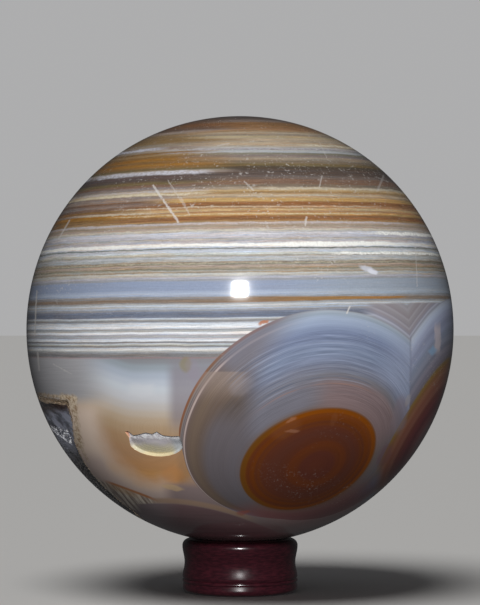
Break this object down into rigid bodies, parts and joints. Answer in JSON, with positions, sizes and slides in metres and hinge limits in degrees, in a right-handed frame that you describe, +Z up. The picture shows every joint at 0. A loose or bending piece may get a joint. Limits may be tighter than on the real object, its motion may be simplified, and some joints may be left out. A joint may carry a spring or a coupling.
{
  "type": "banded agate sphere",
  "caption": "Polished banded agate ball with an eye of concentric rings and an open pit, resting on a small turned ring stand.",
  "frame": {"origin": "middle of the ring stand's foot, on the surface it stands on", "axes": "+Z up, through the middle of the ring and of the ball; the ball's shown side, with the eye and the pit, faces -Y; +X to the right seen from there"},
  "size_m": [0.065, 0.065, 0.0724],
  "materials": {
    "polished_agate": "polished",
    "dark_wine_ring": "gloss"
  },
  "bodies": {
    "root": {"agate_ball": "polished_agate", "ring_stand": "dark_wine_ring"}
  },
  "joints": []
}
